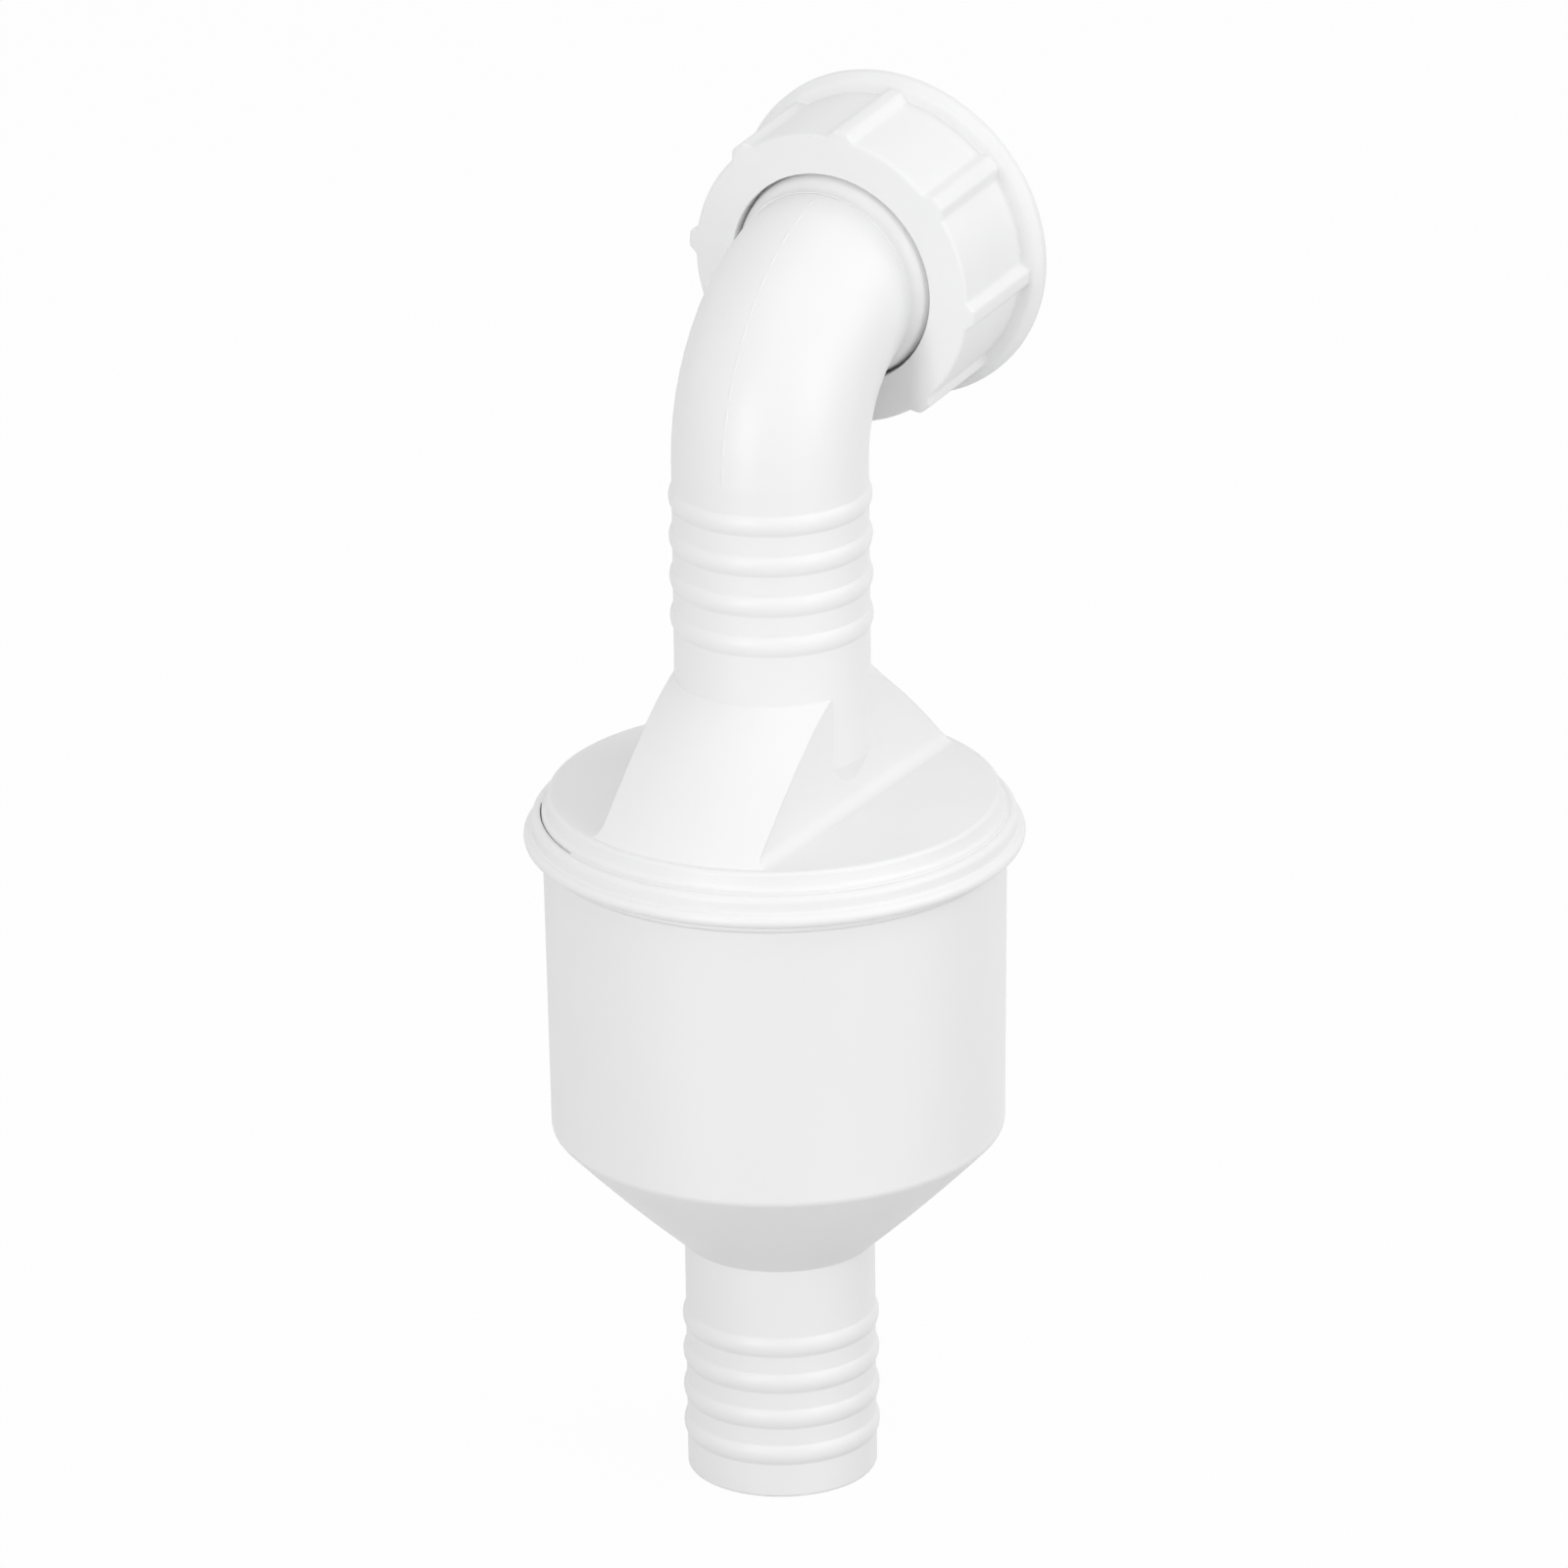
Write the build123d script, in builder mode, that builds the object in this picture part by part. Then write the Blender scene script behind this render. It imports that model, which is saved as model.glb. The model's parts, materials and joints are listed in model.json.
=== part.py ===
from build123d import *
from math import atan, cos, degrees, radians, sin, sqrt, tan
import os

os.makedirs("parts", exist_ok=True)

# Drain non-return valve, in millimetres. The origin is the middle of the hose
# tail's lower end, +Z runs up the chamber's axis and the elbow points along +X.

# Pipes
pipe_r = 16.0             # outside of the upper tube and the elbow
pipe_wall = 2.3
tail_r = 15.7             # outside of the lower hose tail
tail_wall = 2.2
tail_end_round = 0.5
bead_height = 0.55        # hose beads on both pipes
bead_width = 3.4
bead_count = 4
tail_first_bead = 7.6     # height of the lowest bead's middle
tail_bead_pitch = 6.45
tube_bead_rise = 10.2     # from the hump's head to the lowest bead on the tube
tube_bead_pitch = 6.9

# Housing
tail_length = 40.7        # up to where the bottom cone starts
cone_height = 21.1
cone_swell = 0.35         # how far the cone bulges past straight
cone_wall = 2.5
chamber_foot_r = 37.35
chamber_lean = 0.6        # the wall leans out this much towards the top
chamber_height = 48.0     # from the cone to the collar
chamber_edge_round = 1.2
chamber_head_wall = 2.05
shelf_width = 1.2         # step in the wall that carries the seat carrier
shelf_drop = 12.5         # from the cover's ledge down to the shelf
collar_neck_step = 0.45
collar_neck_height = 1.7
collar_height = 5.0       # above its neck
collar_wall = 1.4         # round the cover's rim
collar_ring_height = 2.25
collar_ring_foot = 0.45   # from the collar's band out to the ring
collar_ring_reach = 0.9   # how far the rounded ring stands out of its foot
collar_top_round = 1.1
ledge_rise = 1.0          # the cover's rim stands on a ledge above the collar's neck

# Cover
rim_width = 2.15          # from the spigot's bore to the rim's outside
rim_rise = 0.2            # the rim stands this much above the collar
plate_inset = 0.95        # from the rim's outside to the plate's side
plate_rise = 3.1          # from the rim to the plate's top
plate_thickness = 2.7
plate_edge_round = 0.8
plate_draft = 0.15
plate_flare = 0.9         # hollow curve from the plate's side to its rim
spigot_wall = 3.7
snap_height = 0.45        # ring on the rim that clicks into the collar
snap_width = 1.6

# Hump
hump_inset = 1.3          # from the plate's side to the hump's foot
hump_height = 20.5        # from the plate to where the hump's cone meets the tube
hump_foot_round = 2.0
strip_depth = 1.4         # how far the tube stands out of the hump's flat sides
strip_foot_rise = 4.4     # from the plate to the strip's lower end
strip_slope_height = 3.8  # height in which the strip reaches its full depth

# Elbow
tube_plain = 4.05         # from the beads to the start of the bend
elbow_bend_r = 24.5
elbow_turn = 86.0         # degrees from the tube to the arm
end_collar_thickness = 4.0
end_collar_bevel = 0.8

# Union nut
nut_back = 21.0           # from the crossing of the axes, along the arm
nut_length = 22.7
nut_back_wall = 3.5
nut_hole_room = 2.15      # round the pipe
nut_hole_bevel = 0.5
nut_thread_r = 19.475     # crest of the internal G 1 1/4 thread
nut_relief = 0.8          # depth of the plain recess behind the thread
nut_wall = 5.525          # outside the thread's crest
nut_flange_height = 3.2
nut_flange_width = 3.3
nut_flange_bevel = 1.2
nut_edge_bevel = 0.9
nut_mouth_bevel = 1.0
nut_rib_count = 8
nut_rib_height = 1.4
nut_rib_width = 5.2
nut_rib_top_width = 2.6
nut_rib_inset = 0.3       # from the nut's back to the ends of its ribs
nut_rib_turn = 6.5        # degrees past the horizontal
washer_thickness = 2.5

# Seals inside the chamber
ring_drop = 3.9           # from the cover's ledge to the squeezed O-ring's middle
ring_depth = 2.3
ring_width = 2.8
ring_corner = 1.0
gasket_thickness = 1.5

# Seat carrier
carrier_thickness = 3.0
port_r = 13.6
lip_inset = 1.1           # from the port to the seat lip
lip_width = 1.8
lip_height = 1.5
ear_gap = 15.0            # between the two hinge ears
ear_thickness = 2.5
ear_wall = 2.13           # round the pin

# Flap
hinge_reach = 3.0         # from the flap's edge to the pin's axis
hinge_drop = 4.1          # from the carrier's underside to the pin's axis
open_angle = 80.0
pin_r = 1.25
pin_head_step = 1.05      # how far the head stands out round the pin
pin_head_thickness = 1.0
pin_tip = 0.6
barrel_wall = 1.67
seal_margin = 1.1         # how far the seal covers more than the lip
flap_margin = 1.4         # how far the flap stands out round its seal
flap_thickness = 2.0
flap_rim_inset = 0.6      # from the flap's edge to the stiffening ring under it
flap_rim_width = 1.6
flap_rim_height = 1.0
button_head_r = 4.5
button_head_thickness = 1.2
button_head_round = 0.7
button_shank_r = 2.0
button_barb_r = 2.7
button_barb_length = 1.8

# Clearances
running = 0.08            # turning fits
pressed = 0.02            # pieces pushed into a tight hole
loose = 0.2               # pieces dropped into place
thread_room = 0.3         # washer to the nut's thread
seat_gap = 0.1            # closed flap to seat lip, and open heel to its stop
end_play = 0.3            # nut along the arm, flap between the ears


def beaded_side(radius, start_z, end_z, first_bead, pitch):
    """Draw a pipe's outer side upwards, with its row of rounded hose beads."""
    reached = start_z
    for index in range(bead_count):
        middle = first_bead + index * pitch
        foot = (radius, middle - bead_width / 2)
        head = (radius, middle + bead_width / 2)
        Line((radius, reached), foot)
        ThreePointArc(foot, (radius + bead_height, middle), head)
        reached = middle + bead_width / 2
    Line((radius, reached), (radius, end_z))


# Outlet housing: collar, chamber, bottom cone and hose tail in one moulding
tail_bore_r = tail_r - tail_wall
chamber_foot_z = tail_length + cone_height
chamber_head_r = chamber_foot_r + chamber_lean
spigot_bore_r = chamber_head_r - chamber_head_wall
chamber_r = spigot_bore_r - shelf_width
cone_slope = cone_height / (chamber_foot_r - tail_r)
cone_slant = sqrt(1 + cone_slope ** 2)
cone_middle = (
    (tail_r + chamber_foot_r) / 2 + cone_swell * cone_slope / cone_slant,
    tail_length + cone_height / 2 - cone_swell / cone_slant,
)
collar_foot_z = chamber_foot_z + chamber_height
collar_neck_r = chamber_head_r + collar_neck_step
collar_under_z = collar_foot_z + collar_neck_height
collar_top_z = collar_under_z + collar_height
ledge_z = collar_under_z + ledge_rise
shelf_z = ledge_z - shelf_drop
rim_r = spigot_bore_r + rim_width
rim_top_z = collar_top_z + rim_rise
pocket_r = rim_r + loose
collar_band_r = pocket_r + collar_wall
collar_ring_foot_r = collar_band_r + collar_ring_foot
collar_ring_top_z = collar_under_z + collar_ring_height
snap_z = (ledge_z + rim_top_z) / 2
snap_room = snap_width / 2 + loose


def cone_floor_z(radius):
    """Height of the bottom cone's inner side at a radius."""
    return tail_length + (radius - tail_r) * cone_slope + cone_wall * cone_slant


with BuildPart() as outlet_housing:
    with BuildSketch(Plane.XZ):
        with BuildLine():
            Line((tail_bore_r, 0), (tail_r - tail_end_round, 0))
            TangentArc((tail_r - tail_end_round, 0), (tail_r, tail_end_round), tangent=(1, 0))
            beaded_side(tail_r, tail_end_round, tail_length, tail_first_bead, tail_bead_pitch)
            ThreePointArc((tail_r, tail_length), cone_middle, (chamber_foot_r, chamber_foot_z))
            Polyline(
                (chamber_foot_r, chamber_foot_z),
                (chamber_head_r, collar_foot_z),
                (collar_neck_r, collar_foot_z + collar_neck_step),
                (collar_neck_r, collar_under_z),
                (collar_ring_foot_r, collar_under_z),
            )
            ThreePointArc(
                (collar_ring_foot_r, collar_under_z),
                (collar_ring_foot_r + collar_ring_reach, collar_under_z + collar_ring_height / 2),
                (collar_ring_foot_r, collar_ring_top_z),
            )
            Polyline(
                (collar_ring_foot_r, collar_ring_top_z),
                (collar_band_r, collar_ring_top_z + collar_ring_foot),
                (collar_band_r, collar_top_z - collar_top_round),
            )
            TangentArc(
                (collar_band_r, collar_top_z - collar_top_round),
                (collar_band_r - collar_top_round, collar_top_z),
                tangent=(0, 1),
            )
            Polyline(
                (collar_band_r - collar_top_round, collar_top_z),
                (pocket_r, collar_top_z),
                (pocket_r, snap_z + snap_room),
            )
            ThreePointArc(
                (pocket_r, snap_z + snap_room),
                (pocket_r + snap_height, snap_z),
                (pocket_r, snap_z - snap_room),
            )
            Polyline(
                (pocket_r, snap_z - snap_room),
                (pocket_r, ledge_z),
                (spigot_bore_r, ledge_z),
                (spigot_bore_r, shelf_z),
                (chamber_r, shelf_z),
                (chamber_r, cone_floor_z(chamber_r)),
                (tail_bore_r, cone_floor_z(tail_bore_r)),
                (tail_bore_r, 0),
            )
        make_face()
    revolve(axis=Axis.Z)
    chamber_edge = outlet_housing.edges().sort_by_distance((chamber_foot_r, 0, chamber_foot_z))[0]
    fillet(chamber_edge, chamber_edge_round)
outlet_housing.part.label = "outlet_housing"
export_step(outlet_housing.part, "parts/outlet_housing.step")


# Inlet cover: plate, hump, tube, elbow and end collar in one moulding
pipe_bore_r = pipe_r - pipe_wall
spigot_r = spigot_bore_r - loose
spigot_inner_r = spigot_r - spigot_wall
carrier_top_z = shelf_z + carrier_thickness
spigot_foot_z = carrier_top_z + gasket_thickness
ring_z = ledge_z - ring_drop
plate_r = rim_r - plate_inset
plate_top_z = rim_top_z + plate_rise
plate_under_z = plate_top_z - plate_thickness
groove_r = spigot_bore_r - ring_depth - 2 * pressed
groove_half_width = ring_width / 2 + loose
hump_foot_r = plate_r - hump_inset
hump_head_z = plate_top_z + hump_height
hump_half_width = pipe_r - strip_depth
hump_slope = (hump_foot_r - pipe_r) / hump_height
hump_slant = sqrt(1 + hump_slope ** 2)
strip_foot_z = plate_top_z + strip_foot_rise
strip_full_z = strip_foot_z + strip_slope_height
tube_first_bead = hump_head_z + tube_bead_rise
elbow_start_z = tube_first_bead + (bead_count - 1) * tube_bead_pitch + bead_width / 2 + tube_plain
elbow_axis_z = elbow_start_z + elbow_bend_r * tan(radians(elbow_turn / 2))
arm_direction = (sin(radians(elbow_turn)), 0, cos(radians(elbow_turn)))
inside_nut_r = nut_thread_r - thread_room
end_collar_back = nut_back + nut_back_wall + end_play
arm_end = end_collar_back + end_collar_thickness


def arm_plane(distance):
    """Plane across the elbow's arm, at a distance from the crossing of the axes."""
    origin = (distance * arm_direction[0], 0, elbow_axis_z + distance * arm_direction[2])
    return Plane(origin=origin, x_dir=(0, 1, 0), z_dir=arm_direction)


def bend_point(angle):
    """Middle of the pipe where the elbow has turned by an angle, in degrees."""
    across = elbow_bend_r * (1 - cos(radians(angle)))
    return (across, 0, elbow_start_z + elbow_bend_r * sin(radians(angle)))


def elbow_rod(radius, end_distance):
    """Round rod that follows the elbow from the tube to a place on the arm."""
    with BuildPart() as rod:
        with BuildLine():
            ThreePointArc(bend_point(0), bend_point(elbow_turn / 2), bend_point(elbow_turn))
            Line(bend_point(elbow_turn), arm_plane(end_distance).origin)
        with BuildSketch(Plane.XY.offset(elbow_start_z)):
            Circle(radius)
        sweep()
    return rod.part


def wedge(half_width, outline):
    """Body of revolution about the tube's axis with both its sides cut flat."""
    with BuildPart() as form:
        with BuildSketch(Plane.XZ):
            with BuildLine():
                Polyline(*outline, close=True)
            make_face()
        revolve(axis=Axis.Z)
        split(bisect_by=Plane.XZ.offset(half_width), keep=Keep.BOTTOM)
        split(bisect_by=Plane.XZ.offset(-half_width), keep=Keep.TOP)
    return form.part


hump_outside = wedge(hump_half_width, (
    (0, plate_under_z),
    (hump_foot_r, plate_under_z),
    (hump_foot_r, plate_top_z),
    (pipe_r, hump_head_z),
    (0, hump_head_z),
))
hollow_shift = pipe_wall * hump_slant
hollow_edge_z = plate_top_z + (hump_foot_r - hollow_shift - spigot_inner_r) / hump_slope
hollow_head_z = hump_head_z - (hollow_shift - pipe_wall) / hump_slope
hump_inside = wedge(hump_half_width - pipe_wall, (
    (0, plate_under_z),
    (spigot_inner_r, plate_under_z),
    (spigot_inner_r, hollow_edge_z),
    (pipe_bore_r, hollow_head_z),
    (0, hollow_head_z),
))
elbow_outside = elbow_rod(pipe_r, arm_end)
elbow_inside = elbow_rod(pipe_bore_r, arm_end)

with BuildPart() as inlet_cover:
    with BuildSketch(Plane.XZ):
        with BuildLine():
            Line((0, plate_top_z), (plate_r - plate_edge_round, plate_top_z))
            TangentArc(
                (plate_r - plate_edge_round, plate_top_z),
                (plate_r, plate_top_z - plate_edge_round),
                tangent=(1, 0),
            )
            Line(
                (plate_r, plate_top_z - plate_edge_round),
                (plate_r + plate_draft, rim_top_z + plate_flare),
            )
            TangentArc(
                (plate_r + plate_draft, rim_top_z + plate_flare),
                (rim_r, rim_top_z),
                tangent=(0, -1),
            )
            Line((rim_r, rim_top_z), (rim_r, snap_z + snap_width / 2))
            ThreePointArc(
                (rim_r, snap_z + snap_width / 2),
                (rim_r + snap_height, snap_z),
                (rim_r, snap_z - snap_width / 2),
            )
            Polyline(
                (rim_r, snap_z - snap_width / 2),
                (rim_r, ledge_z),
                (spigot_r, ledge_z),
                (spigot_r, ring_z + groove_half_width),
                (groove_r, ring_z + groove_half_width),
                (groove_r, ring_z - groove_half_width),
                (spigot_r, ring_z - groove_half_width),
                (spigot_r, spigot_foot_z),
                (spigot_inner_r, spigot_foot_z),
                (spigot_inner_r, plate_under_z),
                (0, plate_under_z),
                (0, plate_top_z),
            )
        make_face()
    revolve(axis=Axis.Z)
    add(hump_outside)
    for side in (-1, 1):
        foot_edge = inlet_cover.edges().sort_by_distance((0, side * hump_half_width, plate_top_z))[0]
        fillet(foot_edge, hump_foot_round)
    with BuildSketch(Plane.XZ):
        with BuildLine():
            Polyline((0, elbow_start_z), (0, strip_foot_z), (hump_half_width, strip_foot_z),
                     (pipe_r, strip_full_z))
            beaded_side(pipe_r, strip_full_z, elbow_start_z, tube_first_bead, tube_bead_pitch)
            Line((pipe_r, elbow_start_z), (0, elbow_start_z))
        make_face()
    revolve(axis=Axis.Z)
    add(elbow_outside)
    with BuildSketch(arm_plane(end_collar_back)):
        Circle(inside_nut_r)
    extrude(amount=end_collar_thickness)
    collar_top = arm_plane(arm_end).from_local_coords((0, inside_nut_r, 0))
    chamfer(inlet_cover.edges().sort_by_distance(collar_top)[0], end_collar_bevel)
    add(hump_inside, mode=Mode.SUBTRACT)
    with BuildSketch(Plane.XZ):
        with BuildLine():
            Polyline(
                (0, plate_under_z),
                (hump_half_width - pipe_wall, plate_under_z),
                (hump_half_width - pipe_wall, strip_foot_z),
                (pipe_bore_r, strip_full_z),
                (pipe_bore_r, elbow_start_z),
                (0, elbow_start_z),
                close=True,
            )
        make_face()
    revolve(axis=Axis.Z, mode=Mode.SUBTRACT)
    add(elbow_inside, mode=Mode.SUBTRACT)
inlet_cover.part.label = "inlet_cover"
export_step(inlet_cover.part, "parts/inlet_cover.step")


# Union nut: loose on the arm behind the end collar
nut_end = nut_back + nut_length
nut_shoulder = nut_back + nut_back_wall
nut_thread_foot = arm_end + washer_thickness + end_play
nut_hole_r = pipe_r + nut_hole_room
nut_barrel_r = nut_thread_r + nut_wall
nut_flange_r = nut_barrel_r + nut_flange_height
flange_back = nut_end - nut_flange_width
arm_axis = Axis((0, 0, elbow_axis_z), arm_direction)
arm_section = Plane(origin=(0, 0, elbow_axis_z), x_dir=arm_direction, z_dir=(0, -1, 0))

with BuildPart() as union_nut:
    with BuildSketch(arm_section):
        with BuildLine():
            Polyline(
                (nut_back + nut_hole_bevel, nut_hole_r),
                (nut_back, nut_hole_r + nut_hole_bevel),
                (nut_back, nut_barrel_r - nut_edge_bevel),
                (nut_back + nut_edge_bevel, nut_barrel_r),
                (flange_back, nut_barrel_r),
                (flange_back, nut_flange_r - nut_flange_bevel),
                (flange_back + nut_flange_bevel, nut_flange_r),
                (nut_end - nut_edge_bevel, nut_flange_r),
                (nut_end, nut_flange_r - nut_edge_bevel),
                (nut_end, nut_thread_r + nut_mouth_bevel),
                (nut_end - nut_mouth_bevel, nut_thread_r),
                (nut_thread_foot, nut_thread_r),
                (nut_thread_foot, nut_thread_r + nut_relief),
                (nut_shoulder, nut_thread_r + nut_relief),
                (nut_shoulder, nut_hole_r),
                close=True,
            )
        make_face()
    revolve(axis=arm_axis)
    with BuildSketch(arm_plane(nut_back + nut_rib_inset)):
        with PolarLocations(nut_barrel_r, nut_rib_count, nut_rib_turn):
            Polygon(
                (-nut_edge_bevel, -nut_rib_width / 2),
                (0, -nut_rib_width / 2),
                (nut_rib_height, -nut_rib_top_width / 2),
                (nut_rib_height, nut_rib_top_width / 2),
                (0, nut_rib_width / 2),
                (-nut_edge_bevel, nut_rib_width / 2),
                align=None,
            )
    extrude(amount=flange_back - nut_back - nut_rib_inset)
union_nut.part.label = "union_nut"
export_step(union_nut.part, "parts/union_nut.step")


# Union washer: flat ring in front of the end collar
with BuildPart() as union_washer:
    with BuildSketch(arm_plane(arm_end)):
        Circle(inside_nut_r)
        Circle(pipe_bore_r, mode=Mode.SUBTRACT)
    extrude(amount=washer_thickness)
union_washer.part.label = "union_washer"
export_step(union_washer.part, "parts/union_washer.step")


# Cover O-ring: squeezed between the spigot's groove and the housing
with BuildPart() as cover_o_ring:
    with BuildSketch(Plane.XZ):
        with Locations((groove_r + pressed + ring_depth / 2, ring_z)):
            RectangleRounded(ring_depth, ring_width, ring_corner)
    revolve(axis=Axis.Z)
cover_o_ring.part.label = "cover_o_ring"
export_step(cover_o_ring.part, "parts/cover_o_ring.step")


# Seat carrier: disc with the round port, the seat lip below it and two hinge ears
carrier_r = spigot_bore_r - loose
lip_inner_r = port_r + lip_inset
flap_seal_r = lip_inner_r + lip_width + seal_margin
flap_r = flap_seal_r + flap_margin
hinge_offset = flap_r + hinge_reach
pin_z = shelf_z - hinge_drop
ear_r = pin_r + pressed + ear_wall

with BuildPart() as seat_carrier:
    with BuildSketch(Plane.XZ):
        with BuildLine():
            Polyline((port_r, carrier_top_z), (port_r, shelf_z), (lip_inner_r, shelf_z),
                     (lip_inner_r, shelf_z - lip_height + lip_width / 2))
            ThreePointArc(
                (lip_inner_r, shelf_z - lip_height + lip_width / 2),
                (lip_inner_r + lip_width / 2, shelf_z - lip_height),
                (lip_inner_r + lip_width, shelf_z - lip_height + lip_width / 2),
            )
            Polyline(
                (lip_inner_r + lip_width, shelf_z - lip_height + lip_width / 2),
                (lip_inner_r + lip_width, shelf_z),
                (carrier_r, shelf_z),
                (carrier_r, carrier_top_z),
                (port_r, carrier_top_z),
            )
        make_face()
    revolve(axis=Axis.Z)
    with BuildSketch(Plane.XZ.offset(ear_gap / 2)):
        with Locations((-hinge_offset, pin_z)):
            Circle(ear_r)
        with Locations((-hinge_offset, (pin_z + shelf_z) / 2)):
            Rectangle(2 * ear_r, shelf_z - pin_z)
    ear = extrude(amount=ear_thickness)
    mirror(ear, about=Plane.XZ)
    with BuildSketch(Plane.XZ):
        with Locations((-hinge_offset, pin_z)):
            Circle(pin_r + pressed)
    extrude(amount=ear_gap / 2 + ear_thickness, both=True, mode=Mode.SUBTRACT)
seat_carrier.part.label = "seat_carrier"
export_step(seat_carrier.part, "parts/seat_carrier.step")


# Carrier gasket: flat ring between the carrier and the cover's spigot
with BuildPart() as carrier_gasket:
    with BuildSketch(Plane.XY.offset(carrier_top_z)):
        Circle(carrier_r)
        Circle(spigot_inner_r, mode=Mode.SUBTRACT)
    extrude(amount=gasket_thickness)
carrier_gasket.part.label = "carrier_gasket"
export_step(carrier_gasket.part, "parts/carrier_gasket.step")


# Hinge pin: pressed through both ears, with a flat head on one side
ear_outer_y = ear_gap / 2 + ear_thickness
with BuildPart() as hinge_pin:
    with BuildSketch(Plane.XZ.offset(-ear_outer_y - pin_tip)):
        with Locations((-hinge_offset, pin_z)):
            Circle(pin_r)
    extrude(amount=2 * ear_outer_y + pin_tip)
    with BuildSketch(Plane.XZ.offset(ear_outer_y)):
        with Locations((-hinge_offset, pin_z)):
            Circle(pin_r + pin_head_step)
    extrude(amount=pin_head_thickness)
    chamfer(hinge_pin.edges().group_by(Axis.Y)[-1], pin_tip / 2)
hinge_pin.part.label = "hinge_pin"
export_step(hinge_pin.part, "parts/hinge_pin.step")


# Flap, drawn on its own plane: the pin is the origin, x runs to the port's axis
# when the flap is shut and z points at the seat. The pieces hang wide open.
opened = radians(open_angle)
flap_plane = Plane(
    origin=(-hinge_offset, 0, pin_z),
    x_dir=(cos(opened), 0, -sin(opened)),
    z_dir=(sin(opened), 0, cos(opened)),
)
pin_plane = Plane(origin=flap_plane.origin, x_dir=flap_plane.x_dir, z_dir=flap_plane.y_dir)
barrel_r = pin_r + running + barrel_wall
barrel_length = ear_gap - 2 * end_play
flap_rim_r = flap_r - flap_rim_inset
half_plate = flap_thickness / 2
seal_thickness = hinge_drop - lip_height - seat_gap - half_plate
heel_reach = (hinge_drop - seat_gap - half_plate * cos(opened)) / sin(opened)

with BuildPart() as flap:
    with BuildSketch(flap_plane.offset(-half_plate)):
        with Locations((hinge_offset, 0)):
            Circle(flap_r)
        with Locations(((hinge_offset - heel_reach) / 2, 0)):
            Rectangle(hinge_offset + heel_reach, barrel_length)
    extrude(amount=flap_thickness)
    with BuildSketch(flap_plane.offset(-half_plate)):
        with Locations((hinge_offset, 0)):
            Circle(flap_rim_r)
            Circle(flap_rim_r - flap_rim_width, mode=Mode.SUBTRACT)
    extrude(amount=-flap_rim_height)
    with BuildSketch(pin_plane.offset(-barrel_length / 2)):
        Circle(barrel_r)
    extrude(amount=barrel_length)
    with BuildSketch(pin_plane.offset(-barrel_length / 2)):
        Circle(pin_r + running)
    extrude(amount=barrel_length, mode=Mode.SUBTRACT)
    with BuildSketch(flap_plane.offset(-half_plate)):
        with Locations((hinge_offset, 0)):
            Circle(button_shank_r + pressed)
    extrude(amount=flap_thickness, mode=Mode.SUBTRACT)
flap.part.label = "flap"
export_step(flap.part, "parts/flap.step")


# Flap seal: rubber disc on the side that meets the seat lip
with BuildPart() as flap_seal:
    with BuildSketch(flap_plane.offset(half_plate)):
        with Locations((hinge_offset, 0)):
            Circle(flap_seal_r)
            Circle(button_shank_r + pressed, mode=Mode.SUBTRACT)
    extrude(amount=seal_thickness)
flap_seal.part.label = "flap_seal"
export_step(flap_seal.part, "parts/flap_seal.step")


# Seal button: its head holds the flap seal and its barb grips behind the flap
seal_face = half_plate + seal_thickness
barb_taper = degrees(atan((button_barb_r - button_shank_r) / button_barb_length))
with BuildPart() as seal_button:
    with BuildSketch(flap_plane.offset(seal_face)):
        with Locations((hinge_offset, 0)):
            Circle(button_head_r)
    extrude(amount=button_head_thickness)
    head_edge = seal_button.edges().sort_by(Axis(flap_plane.origin, flap_plane.z_dir))[-1]
    fillet(head_edge, button_head_round)
    with BuildSketch(flap_plane.offset(seal_face)):
        with Locations((hinge_offset, 0)):
            Circle(button_shank_r)
    extrude(amount=-seal_face - half_plate - pressed)
    with BuildSketch(flap_plane.offset(-half_plate - pressed)):
        with Locations((hinge_offset, 0)):
            Circle(button_barb_r)
    extrude(amount=-button_barb_length, taper=barb_taper)
seal_button.part.label = "seal_button"
export_step(seal_button.part, "parts/seal_button.step")
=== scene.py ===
import json
import math

import bpy
from bpy.props import FloatProperty, FloatVectorProperty, IntProperty, PointerProperty
from mathutils import Matrix, Vector


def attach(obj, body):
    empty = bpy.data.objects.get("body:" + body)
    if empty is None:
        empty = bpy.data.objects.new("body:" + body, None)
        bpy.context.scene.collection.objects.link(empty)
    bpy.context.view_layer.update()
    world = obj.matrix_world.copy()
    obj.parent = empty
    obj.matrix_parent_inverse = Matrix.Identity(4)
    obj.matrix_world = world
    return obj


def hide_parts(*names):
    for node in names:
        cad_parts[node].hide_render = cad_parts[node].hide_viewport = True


bl_info = {
    "name": "Drain non-return valve",
    "version": (1, 0, 0),
    "blender": (4, 5, 0),
    "location": "View3D > Sidebar > Valve",
    "description": "Finishes, union nut, mould marks and studio of a drain non-return valve",
    "category": "Object",
}

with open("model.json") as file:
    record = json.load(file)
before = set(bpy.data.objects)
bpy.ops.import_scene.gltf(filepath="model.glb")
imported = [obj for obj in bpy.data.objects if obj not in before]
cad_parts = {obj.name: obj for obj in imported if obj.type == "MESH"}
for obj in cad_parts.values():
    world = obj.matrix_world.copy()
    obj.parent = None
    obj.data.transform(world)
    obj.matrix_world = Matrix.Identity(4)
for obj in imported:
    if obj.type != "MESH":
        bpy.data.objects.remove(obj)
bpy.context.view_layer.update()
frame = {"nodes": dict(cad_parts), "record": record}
nodes = frame["nodes"]

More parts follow.
